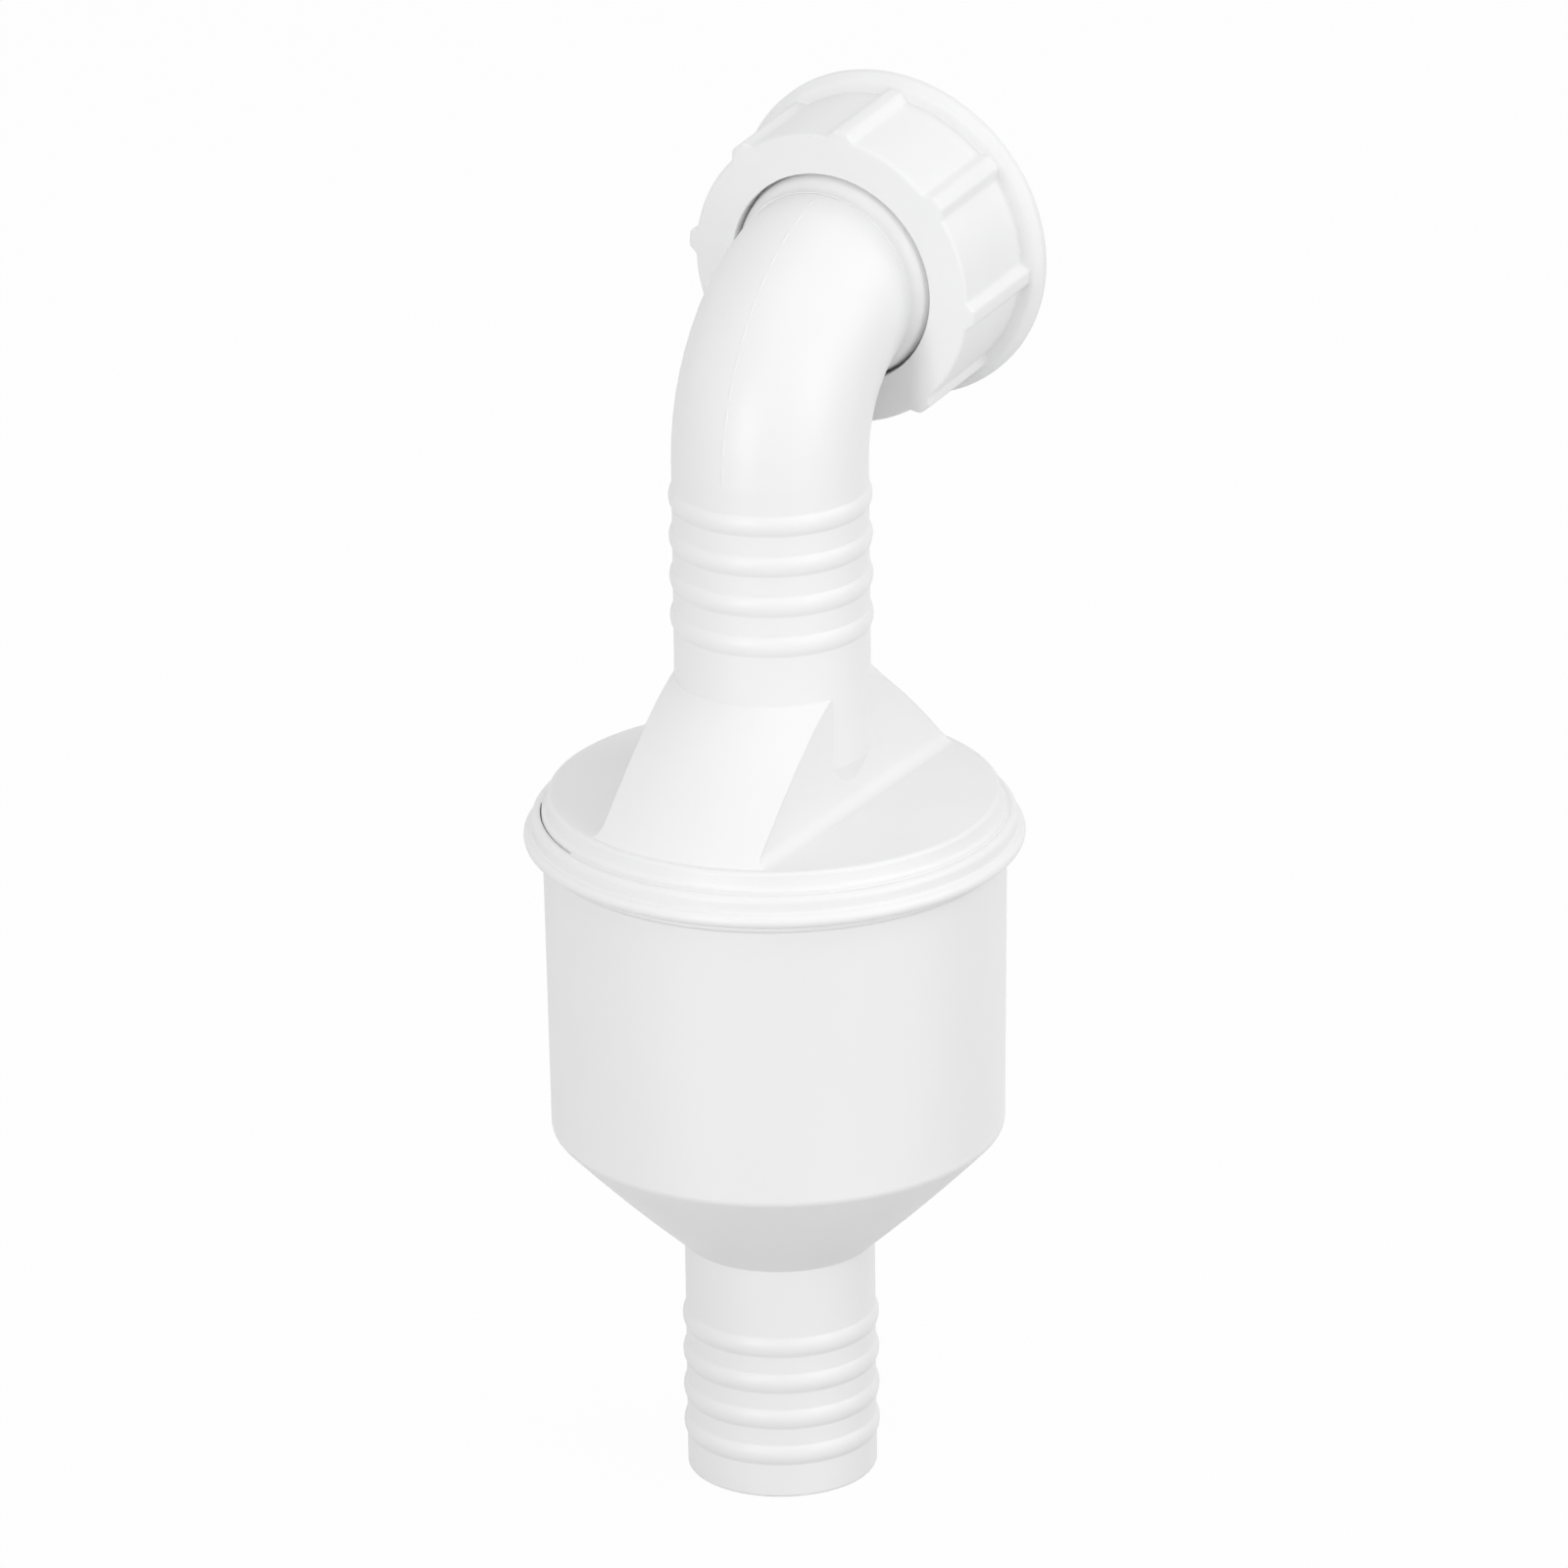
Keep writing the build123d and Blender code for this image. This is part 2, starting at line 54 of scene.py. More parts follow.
MM = 0.001
MOUNTS = {mount["name"]: mount for mount in frame["record"]["mounts"]}
THREAD = MOUNTS["union_thread"]
ARM = Vector(THREAD["axis"])
THREAD_MIDDLE = Vector(THREAD["pos_m"])
CROSSING = THREAD_MIDDLE - ARM * (THREAD_MIDDLE.x / ARM.x)
THREAD_R = THREAD["dims"]["r_mm"] * MM
THREAD_LENGTH = THREAD["dims"]["length_mm"] * MM
THREAD_START = (THREAD_MIDDLE - CROSSING).length - THREAD_LENGTH / 2

NUT_STEPS = 24  # steps of one sector of the nut
RIB_STEPS = 3  # of them, from a rib's middle to the edge of its foot
THREAD_RINGS = 62
FLARE_STEPS = 128
SEAM_STEPS = 180
BEND_STEPS = 36
ROOM = 0.00001  # when places are compared
TURN_ROOM = 0.001  # when angles are compared
SPIN_AXIS = (0, 0, -1)  # makes a spin turn anticlockwise
# Flare: how far along it is, and how far it has risen by then
FLARE = ((0, 0), (0.1, 0.02), (0.19, 0.1), (0.28, 0.25), (0.37, 0.46), (0.46, 0.68),
         (0.56, 0.84), (0.7, 0.95), (1, 1))
# Fold of the seam: out from the rim and up from the collar, in widths of the gap
FOLD = ((1.5, 0), (1.25, 0.02), (0.75, 0.2), (0.35, 0.5), (0.1, 0.92), (-0.2, 0.94))


def length(title, about, value):
    """Property for a size in metres."""
    return FloatProperty(name=title, description=about, default=value, min=0, precision=5,
                         subtype="DISTANCE", unit="LENGTH")


def colour(title, about, value):
    """Property for a colour."""
    return FloatVectorProperty(name=title, description=about, default=value, size=3, min=0, max=1,
                               subtype="COLOR")


def share(title, about, value, highest=1.0):
    """Property for a plain number from 0 to highest."""
    return FloatProperty(name=title, description=about, default=value, min=0, max=highest)


def angle(title, about, degrees):
    """Property for an angle."""
    return FloatProperty(name=title, description=about, default=math.radians(degrees),
                         subtype="ANGLE", unit="ROTATION")


class FinishLook(bpy.types.PropertyGroup):
    """Colours and gloss of the valve's materials."""

    moulding: colour("Moulding", "White of the housing and the cover", (0.87, 0.87, 0.87))
    nut: colour("Nut", "White of the union nut", (0.87, 0.87, 0.875))
    inner: colour("Inner pieces", "Carrier, flap and button", (0.72, 0.74, 0.76))
    rubber: colour("Rubber", "Washer, ring, gasket and flap seal", (0.028, 0.028, 0.031))
    steel: colour("Steel", "Hinge pin", (0.56, 0.55, 0.54))
    gloss: share("Roughness", "Roughness of the white plastic", 0.4)
    nut_duller: share("Nut duller", "How much rougher the nut is", 0.05)
    inner_gloss: share("Inner roughness", "Roughness of the inner pieces", 0.42)
    edge_round: length("Edge round", "Softness of moulded edges in the shading", 0.0004)


class NutSizes(bpy.types.PropertyGroup):
    """Sizes of the union nut, along the arm from the crossing of the pipe axes."""

    back: length("Back", "Start of the nut", 0.0210)
    long: length("Length", "Length of the nut", 0.0227)
    back_wall: length("Back wall", "Thickness of the wall with the pipe's hole", 0.0035)
    hole: length("Hole", "Radius of the pipe's hole", 0.01815)
    relief: length("Relief", "Depth of the plain recess behind the thread", 0.0008)
    barrel: length("Barrel", "Radius between the ribs", 0.0250)
    flange: length("Flange", "Radius of the flange", 0.0282)
    flange_wide: length("Flange width", "Width of the flange", 0.0033)
    flange_slope: length("Flange slope", "Bevel behind the flange", 0.0012)
    mouth_slope: length("Mouth slope", "Bevel in front of the thread", 0.0010)
    mouth_edge: length("Mouth edge", "Bevel of the flange's front edge", 0.0009)
    back_round: length("Back round", "Rounding of the nut's back edge", 0.0009)
    rib_round: length("Rib round", "Rounding of a rib's long edges", 0.0006)
    foot_round: length("Foot round", "Fillet between barrel, ribs and flange", 0.0004)
    rim_round: length("Rim round", "Rounding of the flange and the hole", 0.00035)
    ribs: IntProperty(name="Ribs", description="Number of grip ribs", default=8, min=3, max=24)
    rib_high: length("Rib height", "Height of a rib over the barrel", 0.0014)
    rib_wide: length("Rib width", "Width of a rib's foot", 0.0049)
    rib_top: length("Rib top", "Width of a rib's top", 0.0024)
    rib_turn: angle("Rib turn", "Angle of the first rib past the horizontal", 6.5)
    pitch: length("Pitch", "Pitch of the pipe thread", 0.002309)
    depth: length("Depth", "Depth of the pipe thread", 0.001479)
    crease: angle("Crease", "Edges sharper than this stay sharp in the shading", 30)


class FillSizes(bpy.types.PropertyGroup):
    """Flare inside the nut's hole and the closed part of the rim's seam."""

    pipe: length("Pipe", "Outside radius of the tube and the elbow", 0.0160)
    collar: length("Collar", "Start of the end collar along the arm", 0.0248)
    reach: length("Reach", "Length of the flare along the pipe", 0.0062)
    rise: length("Rise", "Height of the flare at the collar", 0.00185)
    rim: length("Rim", "Outside radius of the cover's rim", 0.03805)
    gap: length("Gap", "Width of the seam between rim and collar", 0.0002)
    seam: length("Seam", "Height of the collar's top", 0.1165)
    seam_deep: length("Seam depth", "Depth of the closed seam", 0.0006)
    open_from: angle("Open from", "Start of the open part of the seam", 114)
    open_to: angle("Open to", "End of the open part of the seam", 149)
    crease: angle("Crease", "Edges sharper than this stay sharp in the shading", 40)


class MouldMarks(bpy.types.PropertyGroup):
    """Fine traces that the mould leaves on the cover."""

    bend: length("Bend", "Radius of the elbow's middle line", 0.0245)
    foot: length("Foot", "Lower end of the parting line", 0.1408)
    end: length("End", "End of the parting line along the arm", 0.0212)
    high: length("Height", "How far the parting line stands out", 0.00001)
    wide: length("Width", "Radius of the parting line's round top", 0.0006)


class StudioLook(bpy.types.PropertyGroup):
    """Camera, lamps and background."""

    heading: angle("Heading", "Camera's direction from the +X axis", 29.0)
    elevation: angle("Elevation", "Camera's height over the object", 21.534)
    roll: angle("Roll", "Camera's tilt about its view", -0.726)
    distance: length("Distance", "Camera to its target", 2.127458)
    target_side: FloatProperty(
        name="Side", description="Target to the right of the chamber's axis", default=0.001620,
        precision=5, subtype="DISTANCE", unit="LENGTH")
    target_height: length("Height", "Height of the camera's target", 0.120611)
    lens: FloatProperty(name="Lens", description="Focal length on a 36 mm sensor, in mm",
                        default=299.58, min=1)
    left: share("Left", "Power of the low softbox left of the camera, in W", 3.8, 100)
    right: share("Right", "Power of the low softbox right of the camera, in W", 1.9, 100)
    side: share("Side", "Power of the softbox to the right of the valve, in W", 2.2, 100)
    top: share("Top", "Power of the softbox overhead, in W", 1.0, 100)
    back: share("Back", "Power of the softbox behind the valve, in W", 0.45, 100)
    sky: share("Sky", "Strength of the even light from all sides", 0.66, 5)
    away: length("Away", "From the lamps to the valve", 1.1)
    floor_shade: share("Floor shade", "How much of its shading the white floor keeps", 0.05)
    floor_bounce: share("Floor bounce", "Share of light that the floor throws back", 0.54)


def look():
    """Settings of the scene."""
    return bpy.context.scene.valve_look


def new_material(name):
    """Empty node material with its output and shader."""
    material = bpy.data.materials.new(name)
    material.use_nodes = True
    tree = material.node_tree
    shader = tree.nodes["Principled BSDF"]
    return material, tree, shader


def noise(tree, scale, detail, stretch=(1, 1, 1)):
    """Noise on object coordinates, stretched along the axes."""
    place = tree.nodes.new("ShaderNodeTexCoord")
    mapping = tree.nodes.new("ShaderNodeMapping")
    mapping.inputs["Scale"].default_value = stretch
    pattern = tree.nodes.new("ShaderNodeTexNoise")
    pattern.inputs["Scale"].default_value = scale
    pattern.inputs["Detail"].default_value = detail
    tree.links.new(place.outputs["Object"], mapping.inputs["Vector"])
    tree.links.new(mapping.outputs["Vector"], pattern.inputs["Vector"])
    return pattern.outputs["Fac"]


def blend(tree, value, low, high):
    """Blend of two colours by a value, without hard steps."""
    node = tree.nodes.new("ShaderNodeMix")
    node.data_type = "RGBA"
    node.inputs["A"].default_value = (*low, 1)
    node.inputs["B"].default_value = (*high, 1)
    tree.links.new(value, node.inputs["Factor"])
    return node.outputs["Result"]


def spread(tree, value, low, high):
    """Value stretched from 0..1 to low..high."""
    node = tree.nodes.new("ShaderNodeMapRange")
    node.inputs["To Min"].default_value = low
    node.inputs["To Max"].default_value = high
    tree.links.new(value, node.inputs["Value"])
    return node.outputs["Result"]


def bump(tree, height, distance, strength, under=None):
    """Bump from a height, over another normal."""
    node = tree.nodes.new("ShaderNodeBump")
    node.inputs["Distance"].default_value = distance
    node.inputs["Strength"].default_value = strength
    tree.links.new(height, node.inputs["Height"])
    if under is not None:
        tree.links.new(under, node.inputs["Normal"])
    return node.outputs["Normal"]


def tinted(base, factor):
    """Colour made a little darker or lighter."""
    return tuple(min(1.0, part * factor) for part in base)


def moulded_plastic(name, base, roughness, grain, edge_round):
    """Injection-moulded plastic: faint flow clouds, fine skin, softly rounded edges."""
    material, tree, shader = new_material(name)
    clouds = noise(tree, scale=38, detail=3, stretch=(1, 1, 0.35))
    shade = blend(tree, clouds, tinted(base, 0.965), tinted(base, 1.03))
    tree.links.new(shade, shader.inputs["Base Color"])
    skin = spread(tree, noise(tree, scale=140, detail=3), roughness - 0.08, roughness + 0.08)
    tree.links.new(skin, shader.inputs["Roughness"])
    shader.inputs["IOR"].default_value = 1.46
    edges = tree.nodes.new("ShaderNodeBevel")
    edges.samples = 4
    edges.inputs["Radius"].default_value = edge_round
    waves = bump(tree, noise(tree, scale=85, detail=2), distance=0.0002, strength=0.1,
                 under=edges.outputs["Normal"])
    fine = bump(tree, noise(tree, scale=1500, detail=2), distance=0.00003, strength=grain,
                under=waves)
    tree.links.new(fine, shader.inputs["Normal"])
    return material


def seal_rubber(name, base):
    """Black seal rubber with a dull, slightly dusty skin."""
    material, tree, shader = new_material(name)
    dust = noise(tree, scale=220, detail=5)
    shade = blend(tree, dust, tinted(base, 0.7), tinted(base, 1.9))
    tree.links.new(shade, shader.inputs["Base Color"])
    skin = spread(tree, noise(tree, scale=400, detail=3), 0.5, 0.72)
    tree.links.new(skin, shader.inputs["Roughness"])
    shader.inputs["Specular IOR Level"].default_value = 0.35
    fine = bump(tree, noise(tree, scale=2600, detail=3), distance=0.00004, strength=0.35)
    tree.links.new(fine, shader.inputs["Normal"])
    return material


def drawn_steel(name, base):
    """Stainless pin with drawing marks along its length."""
    material, tree, shader = new_material(name)
    marks = noise(tree, scale=1500, detail=3, stretch=(1, 0.03, 1))
    shade = blend(tree, marks, tinted(base, 0.8), tinted(base, 1.15))
    tree.links.new(shade, shader.inputs["Base Color"])
    tree.links.new(spread(tree, marks, 0.24, 0.42), shader.inputs["Roughness"])
    shader.inputs["Metallic"].default_value = 1.0
    fine = bump(tree, marks, distance=0.00002, strength=0.3)
    tree.links.new(fine, shader.inputs["Normal"])
    return material


def dress(piece, material):
    """The piece shows this material alone."""
    piece.data.materials.clear()
    piece.data.materials.append(material)
    for face in piece.data.polygons:
        face.material_index = 0


def deselect():
    """Leave edit mode and select nothing."""
    if bpy.context.mode != "OBJECT":
        bpy.ops.object.mode_set(mode="OBJECT")
    bpy.ops.object.select_all(action="DESELECT")


def pick(*pieces):
    """Select these pieces alone; the last is active."""
    deselect()
    for piece in pieces:
        piece.select_set(True)
    bpy.context.view_layer.objects.active = pieces[-1]


def apply_modifiers(piece):
    """Apply every modifier of the piece, in order."""
    pick(piece)
    for modifier in list(piece.modifiers):
        bpy.ops.object.modifier_apply(modifier=modifier.name)


def settle(piece, matrix):
    """Put the piece's place into its mesh."""
    pick(piece)
    bpy.ops.object.transform_apply(location=True, rotation=True, scale=True)
    piece.data.transform(matrix)


def arm_matrix():
    """Axes of the arm: z along it from the crossing of the pipes, x across, y upwards."""
    across = Vector((0, 1, 0))
    turned = Matrix((across, ARM.cross(across), ARM)).transposed()
    return Matrix.Translation(CROSSING) @ turned.to_4x4()


def spun(name, outline, steps, start=0.0, turn=math.tau):
    """Piece turned about z from a closed outline of (radius, height) points."""
    deselect()
    radius, height = outline[0]
    bpy.ops.mesh.primitive_plane_add(size=MM)
    piece = bpy.context.object
    piece.name = piece.data.name = name
    bpy.ops.object.mode_set(mode="EDIT")
    bpy.ops.mesh.select_mode(type="VERT")
    bpy.ops.mesh.select_all(action="SELECT")
    bpy.ops.mesh.merge(type="CENTER")
    bpy.ops.transform.translate(value=(radius, 0, height))
    for new_radius, new_height in outline[1:] + outline[:1]:
        step = (new_radius - radius, 0, new_height - height)
        bpy.ops.mesh.extrude_vertices_move(TRANSFORM_OT_translate={"value": step})
        radius, height = new_radius, new_height
    bpy.ops.mesh.select_all(action="SELECT")
    bpy.ops.mesh.remove_doubles(threshold=0.000001)
    bpy.ops.object.mode_set(mode="OBJECT")
    if start:
        piece.data.transform(Matrix.Rotation(start, 4, "Z"))
    bpy.ops.object.mode_set(mode="EDIT")
    bpy.ops.mesh.select_all(action="SELECT")
    bpy.ops.mesh.spin(steps=steps, angle=turn, center=(0, 0, 0), axis=SPIN_AXIS)
    tidy_mesh()
    return piece


def tidy_mesh():
    """Join vertices that coincide, turn the faces outwards and leave edit mode."""
    bpy.ops.mesh.select_all(action="SELECT")
    bpy.ops.mesh.remove_doubles(threshold=0.000002)
    bpy.ops.mesh.normals_make_consistent(inside=False)
    bpy.ops.object.mode_set(mode="OBJECT")


def choose(piece, kind, test):
    """Select the vertices, edges or faces that pass a test and enter edit mode."""
    pick(piece)
    bpy.ops.object.mode_set(mode="EDIT")
    bpy.ops.mesh.select_mode(type={"vertices": "VERT", "edges": "EDGE", "polygons": "FACE"}[kind])
    bpy.ops.mesh.select_all(action="DESELECT")
    bpy.ops.object.mode_set(mode="OBJECT")
    places = piece.data.vertices
    for item in getattr(piece.data, kind):
        points = [item.co] if kind == "vertices" else [places[index].co for index in item.vertices]
        item.select = test([(math.hypot(p.x, p.y), math.atan2(p.y, p.x), p.z) for p in points])
    bpy.ops.object.mode_set(mode="EDIT")


def near(value, target):
    """Whether two lengths agree to a few thousandths of a millimetre."""
    return abs(value - target) < ROOM / 2


def at(points, radius=None, height=None):
    """Whether every (radius, angle, height) point lies at this radius and height."""
    return all((radius is None or near(r, radius)) and (height is None or near(z, height))
               for r, a, z in points)


class VALVE_OT_mouldings(bpy.types.Operator):
    """Give the housing, the cover and the hidden pieces their finishes"""

    bl_idname = "valve.mouldings"
    bl_label = "Finish the mouldings"

    def execute(self, context):
        """Assign one material to each CAD node."""
        finish = look().finish
        white = moulded_plastic("white_moulding", finish.moulding, finish.gloss, grain=0.10,
                                edge_round=finish.edge_round)
        inner = moulded_plastic("inner_moulding", finish.inner, finish.inner_gloss, grain=0.2,
                                edge_round=finish.edge_round / 2)
        rubber = seal_rubber("black_rubber", finish.rubber)
        steel = drawn_steel("pin_steel", finish.steel)
        finishes = {
            white: ("outlet_housing", "inlet_cover"),
            inner: ("seat_carrier", "flap", "seal_button"),
            rubber: ("union_washer", "cover_o_ring", "carrier_gasket", "flap_seal"),
            steel: ("hinge_pin",),
        }
        for material, names in finishes.items():
            for name in names:
                dress(nodes[name], material)
        return {"FINISHED"}


class VALVE_OT_union_nut(bpy.types.Operator):
    """Model the union nut with its ribs, rounded edges and inner thread"""

    bl_idname = "valve.union_nut"
    bl_label = "Model the union nut"

    def execute(self, context):
        """Turn one sector, raise its rib, repeat it, round the edges and cut the thread."""
        size = look().nut_size
        finish = look().finish
        sector = math.tau / size.ribs
        nut = spun("union_nut_body", self.outline(size), NUT_STEPS, -sector / 2, sector)
        self.raise_rib(nut, size)
        bpy.ops.mesh.select_mode(type="VERT")
        bpy.ops.mesh.select_all(action="SELECT")
        bpy.ops.mesh.spin(steps=size.ribs, dupli=True, angle=math.tau, center=(0, 0, 0),
                          axis=SPIN_AXIS)
        tidy_mesh()
        self.round_edges(nut, size)
        self.cut_thread(nut, size)
        nut.data.transform(Matrix.Rotation(size.rib_turn, 4, "Z"))
        settle(nut, arm_matrix())
        pick(nut)
        bpy.ops.object.shade_smooth_by_angle(angle=size.crease)
        dress(nut, moulded_plastic("nut_plastic", finish.nut, finish.gloss + finish.nut_duller,
                                   grain=0.14, edge_round=size.rim_round / 2))
        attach(nut, "nut")
        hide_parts("union_nut")
        return {"FINISHED"}

    @staticmethod
    def flange_back(size):
        """Place of the flange's back along the arm."""
        return size.back + size.long - size.flange_wide

    def outline(self, size):
        """Closed outline of the nut's wall between two ribs."""
        end = size.back + size.long
        shoulder = size.back + size.back_wall
        back = self.flange_back(size)
        thread_end = THREAD_START + THREAD_LENGTH
        wall = [(THREAD_R, thread_end + (THREAD_START - thread_end) * i / THREAD_RINGS)
                for i in range(THREAD_RINGS + 1)]
        return [
            (size.hole, shoulder),
            (size.hole, size.back),
            (size.barrel, size.back),
            (size.barrel, back),
            (size.barrel + size.rib_high, back),
            (size.flange - size.flange_slope, back),
            (size.flange, back + size.flange_slope),
            (size.flange, end - size.mouth_edge),
            (size.flange - size.mouth_edge, end),
            (THREAD_R + size.mouth_slope, end),
            *wall,
            (THREAD_R + size.relief, THREAD_START),
            (THREAD_R + size.relief, shoulder),
        ]

    def raise_rib(self, nut, size):
        """Raise the rib in the middle of the sector and taper its sides."""
        back = self.flange_back(size)
        top = size.barrel + size.rib_high
        low = size.barrel - ROOM
        half = self.rib_foot(size) + TURN_ROOM

        def on_foot(points, part=1.0):
            """Whether the points lie over this part of the rib's foot."""
            return all(abs(a) < half * part for r, a, z in points)

        def splits_rib(points):
            """Whether an edge only divides the rib's flat top, its end or the barrel's end."""
            within = on_foot(points, 0.9)
            along_top = at(points, radius=top) and not near(points[0][2], points[1][2])
            upwards = not near(points[0][0], points[1][0]) and all(r > low for r, a, z in points)
            return along_top and within or at(points, height=size.back) and (
                at(points, radius=size.barrel) or upwards and within)

        choose(nut, "polygons", lambda points: on_foot(points) and at(points, radius=size.barrel))
        bpy.ops.mesh.extrude_region_move()
        grow = top / size.barrel
        bpy.ops.transform.resize(value=(grow, grow, 1), center_override=(0, 0, 0))
        choose(nut, "polygons", lambda points: on_foot(points) and at(points, height=back)
               and all(low < r < top + ROOM for r, a, z in points))
        bpy.ops.mesh.delete(type="FACE")
        tidy_mesh()
        choose(nut, "edges", lambda points: on_foot(points) and splits_rib(points))
        bpy.ops.mesh.dissolve_edges()
        choose(nut, "vertices", lambda points: on_foot(points) and at(points, radius=top)
               and points[0][2] < back + ROOM)
        bpy.ops.transform.resize(value=(1, size.rib_top / size.rib_wide, 1),
                                 center_override=(0, 0, 0))

    def round_edges(self, nut, size):
        """Weigh the edges by the radius each one gets and bevel them in one go."""
        end = size.back + size.long
        back = self.flange_back(size)
        rims = (
            (size.flange - size.flange_slope, back),
            (size.flange, back + size.flange_slope),
            (size.flange, end - size.mouth_edge),
            (size.flange - size.mouth_edge, end),
            (size.hole, size.back),
        )

        def outside(points):
            """Whether the points lie on the barrel or farther out."""
            return all(r > size.barrel - ROOM for r, a, z in points)

        def back_edge(points):
            """Whether an edge runs round the outside of the nut's back."""
            return at(points, height=size.back) and outside(points)

        def rib_edge(points):
            """Whether an edge is one of a rib's long edges."""
            rise = abs(points[0][2] - points[1][2])
            return outside(points) and rise > size.long / 2 and self.on_rib(points[0], size)

        def foot_edge(points):
            """Whether an edge lies where barrel or rib meets the flange."""
            barrel = at(points, radius=size.barrel) and not self.under_rib(points, size)
            return at(points, height=back) and (barrel or self.rib_end(points, size))

        def rim_edge(points):
            """Whether an edge runs round the flange or the hole."""
            return any(at(points, *rim) for rim in rims)

        rounds = (
            (size.back_round, back_edge),
            (size.rib_round, rib_edge),
            (size.foot_round, foot_edge),
            (size.rim_round, rim_edge),
        )
        for radius, test in rounds:
            choose(nut, "edges", test)
            bpy.ops.transform.edge_bevelweight(value=radius / size.back_round)
            bpy.ops.object.mode_set(mode="OBJECT")
        edges = nut.modifiers.new("edges", "BEVEL")
        edges.limit_method = "WEIGHT"
        edges.width = size.back_round
        edges.segments = 4
        edges.use_clamp_overlap = True
        apply_modifiers(nut)

    @staticmethod
    def rib_angle(turn, size):
        """Angle from the middle of the nearest rib."""
        sector = math.tau / size.ribs
        return abs((turn + sector / 2) % sector - sector / 2)

    @staticmethod
    def rib_foot(size):
        """Angle from a rib's middle to the edge of its foot."""
        return math.tau / size.ribs / NUT_STEPS * RIB_STEPS

    def on_rib(self, point, size):
        """Whether a point lies on one of a rib's four long edges."""
        foot = self.rib_foot(size)
        from_middle = self.rib_angle(point[1], size)
        if near(point[0], size.barrel):
            return abs(from_middle - foot) < 2 * TURN_ROOM
        return from_middle < foot

    def under_rib(self, points, size):
        """Whether an edge lies between a rib's feet."""
        foot = self.rib_foot(size) + 2 * TURN_ROOM
        return all(self.rib_angle(a, size) < foot for r, a, z in points)

    def rib_end(self, points, size):
        """Whether an edge belongs to the outline of a rib where it meets the flange."""
        top = size.barrel + size.rib_high
        lies_on = all(size.barrel - ROOM < r < top + ROOM and not near(r, size.flange)
                      for r, a, z in points)
        return self.under_rib(points, size) and lies_on and any(
            r > size.barrel + ROOM for r, a, z in points)

    @staticmethod
    def cut_thread(nut, size):
        """Press the pipe thread into the plain bore, faded at both ends."""
        for vertex in nut.data.vertices:
            radius = math.hypot(vertex.co.x, vertex.co.y)
            if not near(radius, THREAD_R):
                continue
            inwards = vertex.co.z - THREAD_START
            turns_in = min(inwards, THREAD_LENGTH - inwards) / size.pitch
            fade = max(0.0, min(1.0, turns_in * 1.6)) ** 0.7
            phase = math.tau * vertex.co.z / size.pitch - math.atan2(vertex.co.y, vertex.co.x)
            grow = 1 + size.depth * fade * (0.5 - 0.5 * math.cos(phase)) / radius
            vertex.co.x *= grow
            vertex.co.y *= grow


class VALVE_OT_fillets(bpy.types.Operator):
    """Add the flare in front of the end collar and the pressed seam of the rim"""

    bl_idname = "valve.fillets"
    bl_label = "Add the fillets"

    def execute(self, context):
        """Turn both rings in place."""
        size = look().fills
        finish = look().finish
        white = moulded_plastic("white_skin", finish.moulding, finish.gloss, grain=0.10,
                                edge_round=size.gap / 4)
        sunk = size.pipe - size.gap
        foot = size.pipe - size.gap / 10
        start = size.collar - size.reach
        inside_collar = size.collar + size.gap / 2
        outline = [(sunk, start)]
        outline += [(foot + up * size.rise, size.collar - size.reach * (1 - along))
                    for along, up in FLARE]
        outline += [(size.pipe + size.rise, inside_collar), (sunk, inside_collar)]
        fillet = spun("collar_fillet", outline, FLARE_STEPS)
        settle(fillet, arm_matrix())

        low = size.seam - size.seam_deep
        outline = [(size.rim - size.gap / 5, low), (size.rim + size.gap * 1.5, low)]
        outline += [(size.rim + size.gap * out, size.seam + size.gap * up) for out, up in FOLD]
        closed = math.tau - (size.open_to - size.open_from)
        seam = spun("rim_seam", outline, SEAM_STEPS, size.open_to, closed)
        pick(seam)
        bpy.ops.object.mode_set(mode="EDIT")
        bpy.ops.mesh.select_all(action="SELECT")
        bpy.ops.mesh.fill_holes(sides=0)
        tidy_mesh()
        for piece in (fillet, seam):
            pick(piece)
            bpy.ops.object.shade_smooth_by_angle(angle=size.crease)
            dress(piece, white)
            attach(piece, "valve_body")
        return {"FINISHED"}


class VALVE_OT_mould_marks(bpy.types.Operator):
    """Add the parting line that the mould leaves on the tube and the elbow"""

    bl_idname = "valve.mould_marks"
    bl_label = "Add the mould marks"

    def execute(self, context):
        """Lay a low ridge along the pipe, inside and outside the bend."""
        size = look().marks
        pipe = look().fills.pipe - size.wide + size.high
        bend_turn = math.acos(ARM.z)
        start = CROSSING.z - size.bend * math.tan(bend_turn / 2)
        middle = Vector((size.bend, 0, start))
        for name, side in (("parting_line_back", -1), ("parting_line_front", 1)):
            radius = size.bend - side * pipe
            heights = (size.foot, (size.foot + start) / 2)
            route = [Vector((side * pipe, 0, height)) for height in heights]
            for i in range(BEND_STEPS + 1):
                bent = bend_turn * i / BEND_STEPS
                route.append(middle + Vector((-math.cos(bent), 0, math.sin(bent))) * radius)
            route = [point for point in route if (point - CROSSING).dot(ARM) < size.end]
            curve = bpy.data.curves.new(name, "CURVE")
            curve.dimensions = "3D"
            spline = curve.splines.new("POLY")
            spline.points.add(len(route) - 1)
            for point, place in zip(spline.points, route):
                point.co = (*place, 1)
            curve.bevel_depth = size.wide
            curve.bevel_resolution = 3
            curve.use_fill_caps = True
            line = bpy.data.objects.new(name, curve)
            context.scene.collection.objects.link(line)
            pick(line)
            bpy.ops.object.convert(target="MESH")
            line = context.object
            bpy.ops.object.shade_smooth()
            dress(line, bpy.data.materials["white_skin"])
            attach(line, "valve_body")
        return {"FINISHED"}


